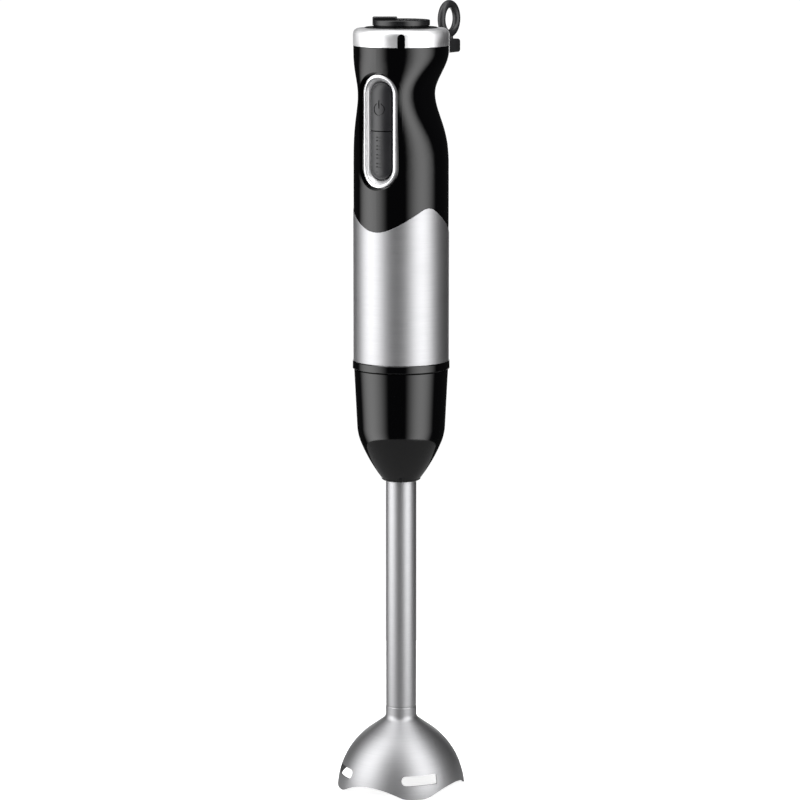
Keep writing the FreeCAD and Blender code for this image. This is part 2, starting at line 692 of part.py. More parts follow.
def make_motor_shaft():
    return cylinder(R_SHAFT, 217.2, 306.2)


def make_cooling_fan():
    hub = tube(R_SHAFT, 5.0, 239.4, 246.6)
    disc = tube(4.5, 16.4, 245.4, 246.6)
    blade = block(6.0, 16.0, -0.5, 0.5, 240.4, 245.6)
    blade.rotate(V(11, 0, 243), V(0, 0, 1), 22)
    blades = [turned(blade, 30 * k) for k in range(12)]
    return fuse([hub, disc] + blades)


def make_brush_parts():
    """Brass holders, carbon brushes and their springs, at +X and -X."""
    holders = []
    brushes = []
    springs = []
    half_w = 2.5
    half_h = 2.0
    for turn in (0, 180):
        case = block(8.6, 20.4, -3.3, 3.3, Z_BRUSH - 2.8, Z_BRUSH + 2.8)
        tunnel = block(8.0, 19.8, -half_w, half_w, Z_BRUSH - half_h, Z_BRUSH + half_h)
        holders.append(turned(case.cut(tunnel), turn))
        brush = block(6.0, 14.0, -half_w + 0.05, half_w - 0.05, Z_BRUSH - half_h + 0.05, Z_BRUSH + half_h - 0.05)
        brushes.append(turned(brush.cut(cylinder(R_COMMUTATOR + 0.08, 280, 300)), turn))
        spring = coil_spring(1.4, 0.25, 1.1, 5.4, V(14.2, 0, Z_BRUSH), V(1, 0, 0))
        springs.append(turned(spring, turn))
    return holders, brushes, springs


def dogs(first, low, high):
    return [sector(3.2, R_DOG, first + 180 * k - DOG_SPAN / 2, first + 180 * k + DOG_SPAN / 2, low, high)
            for k in range(2)]


def make_upper_coupling():
    hub = tube(R_SHAFT, R_DOG, 217.2, 224.0)
    return fuse([hub] + dogs(0, 212.2, 217.4))


# ---------------------------------------------------------------- leg

def make_leg_seal_ring():
    return tube(R_BOSS + 0.06, 20.6, 222.3, 224.5)


def make_leg_cone():
    """Lower moulding: socket with bayonet slots above a floor, hollow below it."""
    top = Z_CONE_TOP
    shell = revolve([
        (R_TUBE, Z_CONE_BOTTOM), (R_TUBE + 0.6, Z_CONE_BOTTOM),
        (R_TUBE + 1.9, Z_CONE_BOTTOM + 0.2, R_TUBE + 2.6, Z_CONE_BOTTOM + 1.3),
        (16.1, 174.75, 21.0, 184.5), (22.6, 189.2, 23.35, 195.0),
        (24.85, top - 0.3), (24.55, top),
        (21.3, top), (21.3, 222.0), (R_BOSS + 0.4, 222.0), (R_BOSS + 0.4, 206.0), (R_TUBE, 206.0),
        (R_TUBE, 203.2), (19.6, 203.2), (20.9, 196.0), (20.2, 190.5, 18.9, 186.0), (13.9, 175.9, R_TUBE, 170.2),
    ])
    r_slot = R_LUG + 0.4
    for k in range(LUG_COUNT):
        middle = k * 360 / LUG_COUNT
        half = LUG_SPAN / 2 + 1.4
        shell = shell.cut(sector(R_BOSS, r_slot, middle - half, middle + half, LUG_LOW - GAP, top + 1))
        shell = shell.cut(sector(R_BOSS, r_slot, middle - half - TWIST, middle + half,
                                 LUG_LOW - GAP, LUG_HIGH + GAP))
    return shell


def make_shaft_tube():
    return tube(R_TUBE - TUBE_WALL, R_TUBE, Z_NECK_TOP, 204.4)


def make_upper_shaft_bush():
    body = tube(R_SHAFT + SHAFT_RUN, R_TUBE - TUBE_WALL, 195.0, 204.4)
    flange = tube(R_SHAFT + SHAFT_RUN, R_TUBE, 204.4, 205.6)
    return fuse([body, flange])


def scallop_tool():
    """What is cut away between two feet: an arch that runs out level at both ends."""
    reach = R_BELL * math.sin(math.radians(SCALLOP_HALF_ANGLE))
    both_radii = (reach ** 2 + SCALLOP_HEIGHT ** 2) / (2 * SCALLOP_HEIGHT)
    arch_share = 1 - SHOULDER_R / both_radii
    turn = math.asin(reach / both_radii)
    change = V(reach * arch_share, 0, SCALLOP_HEIGHT * (1 - arch_share))
    ease = V(reach - SHOULDER_R * math.sin(turn / 2), 0, SHOULDER_R * (1 - math.cos(turn / 2)))
    right = V(reach, 0, 0)
    corners = [V(-reach, 0, -5), V(reach, 0, -5)]
    outline = Part.Wire([
        Part.LineSegment(corners[0], corners[1]).toShape(),
        Part.LineSegment(corners[1], right).toShape(),
        Part.Arc(right, ease, change).toShape(),
        Part.Arc(change, V(0, 0, SCALLOP_HEIGHT), V(-change.x, 0, change.z)).toShape(),
        Part.Arc(V(-change.x, 0, change.z), V(-ease.x, 0, ease.z), V(-reach, 0, 0)).toShape(),
        Part.LineSegment(V(-reach, 0, 0), corners[0]).toShape(),
    ])
    tool = Part.Face(outline).extrude(V(0, -60, 0))
    tool.translate(V(0, 0, -SHOULDER_DIP))
    return tool


def make_bell_guard():
    wall = BELL_WALL
    neck = R_TUBE + 0.15
    bell = revolve([
        (R_BELL - wall, 0.0), (R_BELL, 0.0), (28.71, 17.53, 16.6, 31.17), (9.6, 36.2),
        (8.53, 37.44, neck, 39.03), (neck, Z_NECK_TOP - 0.3), (R_TUBE, Z_NECK_TOP),
        (R_TUBE - wall, Z_NECK_TOP), (R_TUBE - wall, 39.3), (7.82, 37.08, 9.13, 35.55),
        (16.13, 30.52), (28.01, 17.14, R_BELL - wall, 0.0),
    ])
    scallop = scallop_tool()
    for k in range(4):
        bell = bell.cut(turned(scallop, 90 * k)).cut(turned(slot_tool(k % 2 == 1), 90 * k))
    return bell


def slot_tool(swapped):
    """Slot through the bell's wall, round at its first end and square at the other, or swapped."""
    half = R_BELL * math.sin(math.radians(SLOT_SPAN / 2)) - 0.2
    round_r = (SLOT_HIGH - SLOT_LOW) / 2
    middle = (SLOT_HIGH + SLOT_LOW) / 2
    body = block(-half + round_r, half, -50, -20, SLOT_LOW, SLOT_HIGH)
    body = body.makeFillet(0.7, [edge for edge in body.Edges
                                 if edge.BoundBox.XMin > half - 0.1 and edge.BoundBox.YLength > 20])
    end = rod_y(round_r, -50, -20, -half + round_r, middle)
    slot = fuse([body, end])
    if swapped:
        slot = slot.mirror(V(0, 0, 0), V(1, 0, 0))
    return turned(slot, SLOT_FIRST_ANGLE + SLOT_SPAN / 2)


def make_lower_bush_holder():
    return revolve([
        (5.5, 24.0), (9.0, 24.0), (9.5, 24.5), (9.5, 30.6), (R_TUBE - TUBE_WALL, 33.0),
        (R_TUBE - TUBE_WALL, 42.0), (5.5, 42.0),
    ])


def make_lower_shaft_bush():
    return tube(R_SHAFT + SHAFT_RUN, 5.5, 26.6, 41.0)


def make_blade_shaft_seal():
    return tube(R_SHAFT + 0.08, 5.5, 24.2, 26.4)


def make_drive_shaft():
    groove = tube(R_SHAFT - 0.4, R_SHAFT + 1, 22.2, 22.9)
    return cylinder(R_SHAFT, 10.2, 211.4).cut(groove)


def make_shaft_circlip():
    ring = tube(R_SHAFT - 0.4, 4.2, 22.2, 22.9)
    return ring.cut(block(0, 6, -1.0, 1.0, 21, 24))


def make_lower_coupling():
    hub = tube(R_SHAFT, R_DOG, 206.6, 211.6)
    return fuse([hub] + dogs(90, 211.4, 216.6))


def make_blade():
    """Hub with two curved arms, one rising and one falling, sharp on the leading edge."""
    hub = tube(R_SHAFT, 5.2, 14.6, 21.0)
    arms = []
    for turn, tilt in ((0, 16), (180, -12)):
        outline = [V(3.0, -4.2, 0), V(14.0, -4.4, 0), V(21.5, -1.2, 0), V(22.4, 1.6, 0), V(13.0, 3.8, 0),
                   V(3.0, 3.8, 0), V(3.0, -4.2, 0)]
        arm = Part.Face(Part.makePolygon(outline)).extrude(V(0, 0, 1.3))
        edge = Part.Face(Part.makePolygon([V(0, -6, 0), V(0, -1.8, 1.31), V(0, -6, 1.31), V(0, -6, 0)]))
        bevel = edge.extrude(V(30, 0, 0))
        bevel.translate(V(5.4, 0, 0))
        arm = arm.cut(bevel)
        arm.rotate(V(3.5, 0, 0), V(0, 1, 0), -tilt)
        arm.translate(V(0, 0, 17.2))
        arms.append(turned(arm, turn))
    return fuse([hub] + arms).cut(cylinder(R_SHAFT, 0, 30))


def make_blade_nut():
    return hexagon(8.0, 10.2, 14.4).cut(cylinder(R_SHAFT, 0, 30))


# ---------------------------------------------------------------- output

def export(name, shape):
    """Write one node. A list is a group of identical separate solids."""
    if isinstance(shape, (list, tuple)):
        shape = Part.makeCompound(shape)
    for solid in shape.Solids:
        if not solid.isValid():
            print("not valid:", name)
    print("%-24s %2d solid %10.1f mm3" % (name, len(shape.Solids), shape.Volume))
    shape.exportStep(os.path.join("parts", name + ".step"))


def main():
    os.makedirs("parts", exist_ok=True)
    wave = wave_tool()
    export("grip_housing", make_grip_housing(wave))
    export("steel_sleeve", make_steel_sleeve(wave))
    export("lower_collar", make_lower_collar())
    export("chrome_top_ring", make_chrome_top_ring())
    export("top_plate", make_top_plate())
    export("button_bezel", make_button_bezel())
    export("key_frame", make_key_frame())
    export("switch_board", make_switch_board())
    for name, height in SWITCH_HEIGHTS.items():
        export(name + "_switch", make_switch(height))
        export(name + "_plunger", make_plunger(height))
    export("power_key", make_power_key())
    export("boost_key", make_boost_key())
    export("speed_dial", make_speed_dial())
    export("dial_spindle", make_dial_spindle())
    export("speed_control", make_speed_control())
    export("cord_gland", make_cord_gland())
    export("hanging_loop", make_hanging_loop())
    export("cord_clamp", make_cord_clamp())
    export("cord_clamp_screws", make_cord_clamp_screws())
    export("chassis_front", chassis_half(1))
    export("chassis_rear", chassis_half(-1))
    export("chassis_screws", make_chassis_screws())
    export("control_board", make_control_board())
    export("capacitor", make_capacitor())
    export("triac", make_triac())
    export("heat_sink", make_heat_sink())
    export("motor_shaft_seal", make_motor_shaft_seal())
    export("lower_motor_bracket", make_lower_bracket())
    export("upper_motor_bracket", make_upper_bracket())
    export("lower_motor_bush", make_motor_bush(231.4, 237.6))
    export("upper_motor_bush", make_motor_bush(299.4, 305.2))
    export("lower_rubber_mount", make_rubber_mount(LOWER_BRACKET_Z))
    export("upper_rubber_mount", make_rubber_mount(UPPER_BRACKET_Z))
    export("motor_bolts", make_motor_bolts())
    export("stator", make_stator())
    export("field_coils", make_field_coils())
    export("motor_shaft", make_motor_shaft())
    export("armature_core", make_armature_core())
    export("armature_winding", make_armature_winding())
    export("commutator", make_commutator())
    export("cooling_fan", make_cooling_fan())
    holders, brushes, springs = make_brush_parts()
    export("brush_holders", holders)
    export("carbon_brushes", brushes)
    export("brush_springs", springs)
    export("upper_drive_coupling", make_upper_coupling())
    export("leg_seal_ring", make_leg_seal_ring())
    export("leg_cone", make_leg_cone())
    export("shaft_tube", make_shaft_tube())
    export("bell_guard", make_bell_guard())
    export("upper_shaft_bush", make_upper_shaft_bush())
    export("lower_bush_holder", make_lower_bush_holder())
    export("lower_shaft_bush", make_lower_shaft_bush())
    export("blade_shaft_seal", make_blade_shaft_seal())
    export("drive_shaft", make_drive_shaft())
    export("lower_drive_coupling", make_lower_coupling())
    export("blade", make_blade())
    export("blade_nut", make_blade_nut())
    export("shaft_circlip", make_shaft_circlip())


main()
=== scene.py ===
"""Looks of an immersion blender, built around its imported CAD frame. Metres; the drive axis is Z."""

import json
import math

import bmesh
import bpy
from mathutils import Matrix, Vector

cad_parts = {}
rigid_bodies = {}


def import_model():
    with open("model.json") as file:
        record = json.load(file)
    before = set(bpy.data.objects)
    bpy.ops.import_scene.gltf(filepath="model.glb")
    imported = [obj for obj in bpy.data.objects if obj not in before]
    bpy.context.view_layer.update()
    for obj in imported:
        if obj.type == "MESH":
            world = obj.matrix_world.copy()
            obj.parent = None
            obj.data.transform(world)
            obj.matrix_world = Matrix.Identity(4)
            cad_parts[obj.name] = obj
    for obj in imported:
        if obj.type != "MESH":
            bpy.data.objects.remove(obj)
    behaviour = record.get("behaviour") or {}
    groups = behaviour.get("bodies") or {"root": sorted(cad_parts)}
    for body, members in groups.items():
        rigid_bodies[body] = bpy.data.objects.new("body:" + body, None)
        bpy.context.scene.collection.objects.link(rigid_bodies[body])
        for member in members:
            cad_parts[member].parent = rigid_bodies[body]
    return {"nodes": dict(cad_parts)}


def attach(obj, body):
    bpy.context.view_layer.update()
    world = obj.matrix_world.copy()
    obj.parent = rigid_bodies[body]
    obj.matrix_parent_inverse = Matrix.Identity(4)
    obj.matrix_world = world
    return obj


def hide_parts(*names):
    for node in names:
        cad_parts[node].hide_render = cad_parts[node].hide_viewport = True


for leftover in list(bpy.data.objects):
    bpy.data.objects.remove(leftover)

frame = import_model()
bpy.context.view_layer.update()
nodes = frame["nodes"]
scene = bpy.context.scene

# ---------------------------------------------------------------- view and studio

CAMERA_AZIMUTH = 31.0
CAMERA_REACH = 1.793          # horizontal distance from the drive axis
CAMERA_HEIGHT = 0.4932
AIM_HEIGHT = 0.2076
SIDE_STEP = 0.0006            # how far camera and aim stand to the left of the drive axis
LENS = 155.6

FLOOR_RADIUS = 0.34
FLOOR_DROP = 0.0004
FLOOR_COLOUR = 0.85
FLOOR_GLOW = 0.85
FLOOR_MIRRORED = 0.3          # how pale the object sees the floor
WORLD_GLOW = 0.02             # what the object sees of the room
BACKDROP = 1.05               # what the camera sees of it

SOFTBOX_REACH = 1.3           # distance of the side lights from the drive axis
SOFTBOX_FOOT = -0.85
SOFTBOX_TOP = 4.2
REAR_TOP = 0.45               # the rear light is a low one


def towards(azimuth, elevation=0.0):
    """Unit vector from the object, at an azimuth from the front (-Y) towards +X."""
    a = math.radians(azimuth)
    e = math.radians(elevation)
    return Vector((math.sin(a) * math.cos(e), -math.cos(a) * math.cos(e), math.sin(e)))


def make_camera():
    """Camera at the photograph's viewing angle, aimed a little beside the drive axis."""
    data = bpy.data.cameras.new("camera")
    data.lens = LENS
    camera = bpy.data.objects.new("camera", data)
    scene.collection.objects.link(camera)
    step = towards(CAMERA_AZIMUTH - 90.0) * SIDE_STEP
    camera.location = towards(CAMERA_AZIMUTH) * CAMERA_REACH + Vector((0, 0, CAMERA_HEIGHT)) + step
    aim = Vector((0, 0, AIM_HEIGHT)) + step - camera.location
    camera.rotation_euler = aim.to_track_quat("-Z", "Y").to_euler()
    data.clip_start = 0.05
    data.clip_end = 50.0
    scene.camera = camera


def make_softbox(name, azimuth, reach, width, low, high, radiance, feathered=True):
    """Tall studio light that faces the drive axis. A feathered one fades out towards both sides."""
    height = high - low
    data = bpy.data.lights.new(name, "AREA")
    data.shape = "RECTANGLE"
    data.size = width
    data.size_y = height
    data.energy = radiance * width * height * math.pi
    data.use_nodes = True
    tree = data.node_tree
    if feathered:
        across = tree.nodes.new("ShaderNodeSeparateXYZ")
        geometry = tree.nodes.new("ShaderNodeNewGeometry")
        tree.links.new(geometry.outputs["Parametric"], across.inputs[0])
        ramp = tree.nodes.new("ShaderNodeValToRGB")
        ramp.color_ramp.interpolation = "EASE"
        ramp.color_ramp.elements[0].color = (0, 0, 0, 1)
        ramp.color_ramp.elements[1].color = (0, 0, 0, 1)
        ramp.color_ramp.elements.new(0.5).color = (1, 1, 1, 1)
        tree.links.new(across.outputs["X"], ramp.inputs["Fac"])
        tree.links.new(ramp.outputs["Color"], tree.nodes["Emission"].inputs["Strength"])
    light = bpy.data.objects.new(name, data)
    scene.collection.objects.link(light)
    light.location = towards(azimuth) * reach + Vector((0, 0, (low + high) / 2))
    aim = -towards(azimuth) if reach else Vector((0, 0, -1))
    light.rotation_euler = aim.to_track_quat("-Z", "Y").to_euler()
    light.visible_camera = False


def make_world():
    """White room for the camera, nearly dark for everything else."""
    world = bpy.data.worlds.new("studio")
    world.use_nodes = True
    tree = world.node_tree
    background = tree.nodes["Background"]
    path = tree.nodes.new("ShaderNodeLightPath")
    spread = tree.nodes.new("ShaderNodeMapRange")
    spread.inputs["To Min"].default_value = WORLD_GLOW
    spread.inputs["To Max"].default_value = BACKDROP
    tree.links.new(path.outputs["Is Camera Ray"], spread.inputs["Value"])
    tree.links.new(spread.outputs["Result"], background.inputs["Strength"])
    background.inputs["Color"].default_value = (1, 1, 1, 1)
    scene.world = world


def make_floor():
    """Pale round floor, bright for the camera so that only the contact shadow shows, dim for the object."""
    mesh = bpy.data.meshes.new("floor")
    count = 128
    ring = [towards(360.0 * k / count) * FLOOR_RADIUS for k in range(count)]
    mesh.from_pydata([(p.x, p.y, -FLOOR_DROP) for p in ring], [], [tuple(range(count))])
    floor = bpy.data.objects.new("floor", mesh)
    scene.collection.objects.link(floor)
    material = bpy.data.materials.new("floor")
    material.use_nodes = True
    tree = material.node_tree
    shader = tree.nodes["Principled BSDF"]
    shader.inputs["Roughness"].default_value = 0.9
    shader.inputs["Specular IOR Level"].default_value = 0.1
    shader.inputs["Emission Color"].default_value = (1, 1, 1, 1)
    path = tree.nodes.new("ShaderNodeLightPath")
    brightness = (("Base Color", FLOOR_COLOUR, FLOOR_MIRRORED), ("Emission Strength", FLOOR_GLOW, 0.0))
    for socket, seen, mirrored in brightness:
        spread = tree.nodes.new("ShaderNodeMapRange")
        spread.inputs["To Min"].default_value = mirrored
        spread.inputs["To Max"].default_value = seen
        tree.links.new(path.outputs["Is Camera Ray"], spread.inputs["Value"])
        tree.links.new(spread.outputs["Result"], shader.inputs[socket])
    mesh.materials.append(material)


make_camera()
make_world()
make_floor()
scene.view_settings.view_transform = "Standard"
make_softbox("left_softbox", CAMERA_AZIMUTH - 76.0, SOFTBOX_REACH, width=2.6,
             low=SOFTBOX_FOOT, high=SOFTBOX_TOP, radiance=3.5)
make_softbox("right_softbox", CAMERA_AZIMUTH + 50.0, SOFTBOX_REACH, width=2.3,
             low=SOFTBOX_FOOT, high=SOFTBOX_TOP, radiance=3.5)
make_softbox("rear_softbox", CAMERA_AZIMUTH + 180.0, SOFTBOX_REACH, width=0.9,
             low=SOFTBOX_FOOT, high=REAR_TOP, radiance=1.6, feathered=False)
make_softbox("top_softbox", CAMERA_AZIMUTH, reach=0.0, width=1.4,
             low=0.8, high=2.2, radiance=1.8, feathered=False)


# ---------------------------------------------------------------- materials

NOISE_LOW = 0.3               # most of a noise lies between these two values
NOISE_HIGH = 0.7


class Finish:
    """A material, its shader and short ways to add nodes to it."""

    def __init__(self, name, colour, roughness, metallic=0.0):
        self.material = bpy.data.materials.new("look_" + name)
        self.material.use_nodes = True
        self.tree = self.material.node_tree
        self.shader = self.tree.nodes["Principled BSDF"]
        self.shader.inputs["Base Color"].default_value = (*colour, 1)
        self.shader.inputs["Roughness"].default_value = roughness
        self.shader.inputs["Metallic"].default_value = metallic
        self.coordinates = self.tree.nodes.new("ShaderNodeTexCoord").outputs["Object"]
        self.normal = None

    def calculate(self, operation, first, second=0.0):
        """Result of one operation on two numbers or sockets."""
        node = self.tree.nodes.new("ShaderNodeMath")
        node.operation = operation
        for socket, value in zip(node.inputs, (first, second)):
            if isinstance(value, (int, float)):
                socket.default_value = value
            else:
                self.tree.links.new(value, socket)
        return node.outputs[0]

    def stretched(self, scale):
        """Object coordinates, scaled by a different amount along each axis."""
        node = self.tree.nodes.new("ShaderNodeMapping")
        node.inputs["Scale"].default_value = scale
        self.tree.links.new(self.coordinates, node.inputs["Vector"])
        return node.outputs["Vector"]

    def around_axis(self, along, around):
        """Coordinates that follow a turned surface: distance from the axis, height, and angle."""
        split = self.tree.nodes.new("ShaderNodeSeparateXYZ")
        self.tree.links.new(self.coordinates, split.inputs[0])
        x, y, z = split.outputs
        squares = self.calculate("ADD", self.calculate("MULTIPLY", x, x), self.calculate("MULTIPLY", y, y))
        radius = self.calculate("SQRT", squares)
        join = self.tree.nodes.new("ShaderNodeCombineXYZ")
        self.tree.links.new(self.calculate("MULTIPLY", radius, along), join.inputs[0])
        self.tree.links.new(self.calculate("MULTIPLY", z, along), join.inputs[1])
        angle = self.calculate("ARCTAN2", y, x)
        self.tree.links.new(self.calculate("MULTIPLY", angle, around), join.inputs[2])
        return join.outputs[0]

    def noise(self, vector, detail=3.0, roughness=0.5):
        """Cloudy value; its scale is that of the vector."""
        node = self.tree.nodes.new("ShaderNodeTexNoise")
        node.inputs["Scale"].default_value = 1.0
        node.inputs["Detail"].default_value = detail
        node.inputs["Roughness"].default_value = roughness
        self.tree.links.new(vector, node.inputs["Vector"])
        return node.outputs["Fac"]

    def spread(self, value, low, high):
        """Maps the middle of a noise to a range."""
        node = self.tree.nodes.new("ShaderNodeMapRange")
        node.inputs["From Min"].default_value = NOISE_LOW
        node.inputs["From Max"].default_value = NOISE_HIGH
        node.inputs["To Min"].default_value = low
        node.inputs["To Max"].default_value = high
        self.tree.links.new(value, node.inputs["Value"])
        return node.outputs["Result"]

    def bump(self, height, strength, distance):
        """Adds fine relief on top of any that the material has already."""
        node = self.tree.nodes.new("ShaderNodeBump")
        node.inputs["Strength"].default_value = strength
        node.inputs["Distance"].default_value = distance
        self.tree.links.new(height, node.inputs["Height"])
        if self.normal is not None:
            self.tree.links.new(self.normal, node.inputs["Normal"])
        self.normal = node.outputs["Normal"]
        self.tree.links.new(self.normal, self.shader.inputs["Normal"])

    def tint(self, amount, dark, light):
        """Colour that goes from dark to light with amount."""
        node = self.tree.nodes.new("ShaderNodeMix")
        node.data_type = "RGBA"
        node.inputs[6].default_value = (*dark, 1)
        node.inputs[7].default_value = (*light, 1)
        self.tree.links.new(amount, node.inputs[0])
        self.tree.links.new(node.outputs[2], self.shader.inputs["Base Color"])

    def link(self, socket, value):
        self.tree.links.new(value, self.shader.inputs[socket])


def shade(colour, factor):
    """Colour made darker or lighter."""
    return tuple(c * factor for c in colour)


def moulded(name, colour, roughness, grain=0.0, grain_scale=2500.0, variation=0.12):
    """Moulded plastic or rubber: a little colour drift, uneven gloss and a fine texture."""
    finish = Finish(name, colour, roughness)
    cloud = finish.noise(finish.stretched((60, 60, 60)), detail=4.0)
    finish.tint(finish.spread(cloud, 0, 1), shade(colour, 1 - variation), shade(colour, 1 + variation))
    finish.link("Roughness", finish.spread(cloud, roughness * 0.85, roughness * 1.2))
    if grain:
        fine = finish.noise(finish.stretched((grain_scale,) * 3), detail=2.0)
        finish.bump(fine, grain, 0.00005)
    return finish


def gloss_black():
    """High gloss moulding: near black, with faint handling marks in its gloss and a trace of ripple."""
    finish = Finish("gloss_black", (0.0008, 0.0008, 0.001), 0.07)
    finish.shader.inputs["IOR"].default_value = 1.5
    smudge = finish.noise(finish.stretched((45, 45, 30)), detail=5.0, roughness=0.6)
    finish.link("Roughness", finish.spread(smudge, 0.055, 0.11))
    ripple = finish.noise(finish.stretched((90, 90, 60)), detail=1.0)
    finish.bump(ripple, 0.05, 0.0002)
    return finish


def brushed(name, colour, roughness, contrast=0.1, anisotropy=0.4):
    """Metal brushed round the drive axis: fine lines of uneven gloss, height and tone."""
    finish = Finish(name, colour, roughness, 1.0)
    lines = finish.noise(finish.around_axis(9000, 1.5), detail=3.0, roughness=0.7)
    long_lines = finish.noise(finish.around_axis(1500, 0.6), detail=2.0)
    finish.tint(finish.spread(lines, 0, 1), shade(colour, 1 - contrast), shade(colour, 1 + contrast * 0.6))
    finish.link("Roughness", finish.spread(long_lines, roughness * 0.95, roughness * 1.05))
    finish.bump(lines, 0.12, 0.00002)
    finish.shader.inputs["Anisotropic"].default_value = anisotropy
    finish.shader.inputs["Anisotropic Rotation"].default_value = 0.25
    tangent = finish.tree.nodes.new("ShaderNodeTangent")
    tangent.direction_type = "RADIAL"
    tangent.axis = "Z"
    finish.tree.links.new(tangent.outputs[0], finish.shader.inputs["Tangent"])
    return finish


def plated(name, colour, roughness):
    """Bright plating or bare metal, with uneven gloss."""
    finish = Finish(name, colour, roughness, 1.0)
    cloud = finish.noise(finish.stretched((80, 80, 80)), detail=5.0)
    finish.link("Roughness", finish.spread(cloud, roughness * 0.8, roughness * 1.25))
    fine = finish.noise(finish.stretched((1200, 1200, 1200)), detail=2.0)
    finish.bump(fine, 0.03, 0.00002)
    return finish


def wound_copper():
    """Enamelled winding: turns side by side."""
    finish = Finish("copper", (0.55, 0.21, 0.09), 0.28, 1.0)
    wave = finish.tree.nodes.new("ShaderNodeTexWave")
    wave.inputs["Scale"].default_value = 420.0
    wave.inputs["Distortion"].default_value = 0.6
    wave.bands_direction = "DIAGONAL"
    finish.tree.links.new(finish.coordinates, wave.inputs["Vector"])
    finish.tint(wave.outputs["Fac"], (0.28, 0.08, 0.03), (0.62, 0.26, 0.12))
    finish.bump(wave.outputs["Fac"], 0.5, 0.0001)
    return finish


def laminated():
    """Stack of thin steel sheets."""
    finish = Finish("lamination", (0.28, 0.28, 0.29), 0.45, 1.0)
    wave = finish.tree.nodes.new("ShaderNodeTexWave")
    wave.inputs["Scale"].default_value = 320.0
    wave.bands_direction = "Z"
    finish.tree.links.new(finish.coordinates, wave.inputs["Vector"])
    finish.tint(wave.outputs["Fac"], (0.1, 0.1, 0.11), (0.34, 0.34, 0.35))
    finish.bump(wave.outputs["Fac"], 0.4, 0.00008)
    return finish


LOOKS = {
    "gloss_black": gloss_black(),
    "brushed_steel": brushed("brushed_steel", (0.44, 0.44, 0.45), 0.5),
    "chrome": plated("chrome", (0.9, 0.9, 0.91), 0.42),
    "satin_black": moulded("satin_black", (0.008, 0.008, 0.009), 0.28, grain=0.06),
    "soft_charcoal": moulded("soft_charcoal", (0.016, 0.016, 0.018), 0.34, grain=0.1),
    "black_rubber": moulded("black_rubber", (0.01, 0.01, 0.011), 0.42, grain=0.12),
    "seal_rubber": moulded("seal_rubber", (0.05, 0.05, 0.05), 0.6, grain=0.2),
    "white_plastic": moulded("white_plastic", (0.72, 0.71, 0.68), 0.42, grain=0.08, variation=0.05),
    "circuit_board": moulded("circuit_board", (0.03, 0.16, 0.06), 0.35, grain=0.08),
    "dark_component": moulded("dark_component", (0.02, 0.02, 0.022), 0.45, grain=0.1),
    "yellow_component": moulded("yellow_component", (0.65, 0.42, 0.05), 0.4, grain=0.05),
    "aluminium": plated("aluminium", (0.75, 0.75, 0.76), 0.38),
    "zinc_steel": plated("zinc_steel", (0.6, 0.6, 0.58), 0.28),
    "lamination": laminated(),
    "copper": wound_copper(),
    "bronze": plated("bronze", (0.55, 0.33, 0.15), 0.38),
    "brass": plated("brass", (0.75, 0.56, 0.25), 0.3),
    "carbon": moulded("carbon", (0.015, 0.015, 0.016), 0.6, grain=0.3),
}


def dress(piece, look):
    """Gives every material slot of a piece one look."""
    material = LOOKS[look].material
    for slot in piece.material_slots:
        slot.link = "OBJECT"
        slot.material = material


node_looks = {}
for name, node in nodes.items():
    node_looks[name] = node.material_slots[0].material.name.split(".")[0]
    dress(node, node_looks[name])


# ---------------------------------------------------------------- rebuilt pieces, in millimetres

COLUMNS = 256                 # steps round the drive axis
CORNER_STEPS = 6              # steps round a rounded corner

BODY_R = 25.0                 # steel sleeve
SLEEVE_BORE_R = 24.4
SLEEVE_FOOT_Z = 229.1
SLEEVE_EDGE_R = 0.28          # rounding of its wavy edge
WAVE_FRONT_Z = 298.3          # height of that edge at the very front
WAVE_FRONT = ((-BODY_R, 0.0), (-19.9, 6.2), (-13.3, 11.5))    # points (y, rise) of its front arc
WAVE_CREST = ((-13.3, 11.5), (-9.6, 12.35), (-6.0, 10.9))     # and of the arc over its crest
WAVE_DROP = 26.4              # how far it then falls, over the run
WAVE_RUN = 36.0

TUBE_R = 8.0                  # shaft tube
TUBE_BORE_R = 7.2
TUBE_NECK_R = 7.85            # groove at the joint with the bell
TUBE_FOOT_Z = 43.2
TUBE_TOP_Z = 204.4

DIAL_R = 14.9
DIAL_TOP_Z = 406.4            # its face; the bar stands on it
BAR_FOOT_Z = 405.9
BAR_TOP_Z = 407.9
BAR_EDGE_R = 0.7              # rounding along the bar's top
BAR_HALF_WIDTH = 3.0
BAR_START = 2.0               # how far from the dial's middle it begins
BAR_ANGLE = -59.0             # where it points at rest
BAR_SPINE = (5.0, 12.0)       # stretch of its middle line that closes its top and bottom

BUTTON_CENTRE_Z = 350.2
BEZEL_WIDTH = 20.9
BEZEL_HEIGHT = 58.4
BEZEL_FACE_R = 23.2           # its face lies on this cylinder about the drive axis
BEZEL_BACK_Y = -16.0
BEZEL_RIM = 1.7               # width of its face
BEZEL_SLOPE_WIDTH = 2.15      # width of its inner slope
SLOPE_START = 0.35            # how far behind the face the slope begins
SLOPE_STRETCH = 1.3           # how much more it bends than the face
SLOPE_END_Y = -19.5
# Points (inset, distance behind the face) from the outer wall over the rim.
BEZEL_FACE = ((0.0, 2.0), (0.0, 0.45), (0.04, 0.24), (0.15, 0.08), (0.35, 0.0), (0.8, 0.0), (1.2, 0.0),
              (1.4, 0.03), (1.55, 0.12), (1.68, 0.28))
# Points (inset, y) of the wall round the keys.
BEZEL_THROAT = ((3.88, -19.3), (3.9, -19.1), (3.9, BEZEL_BACK_Y))


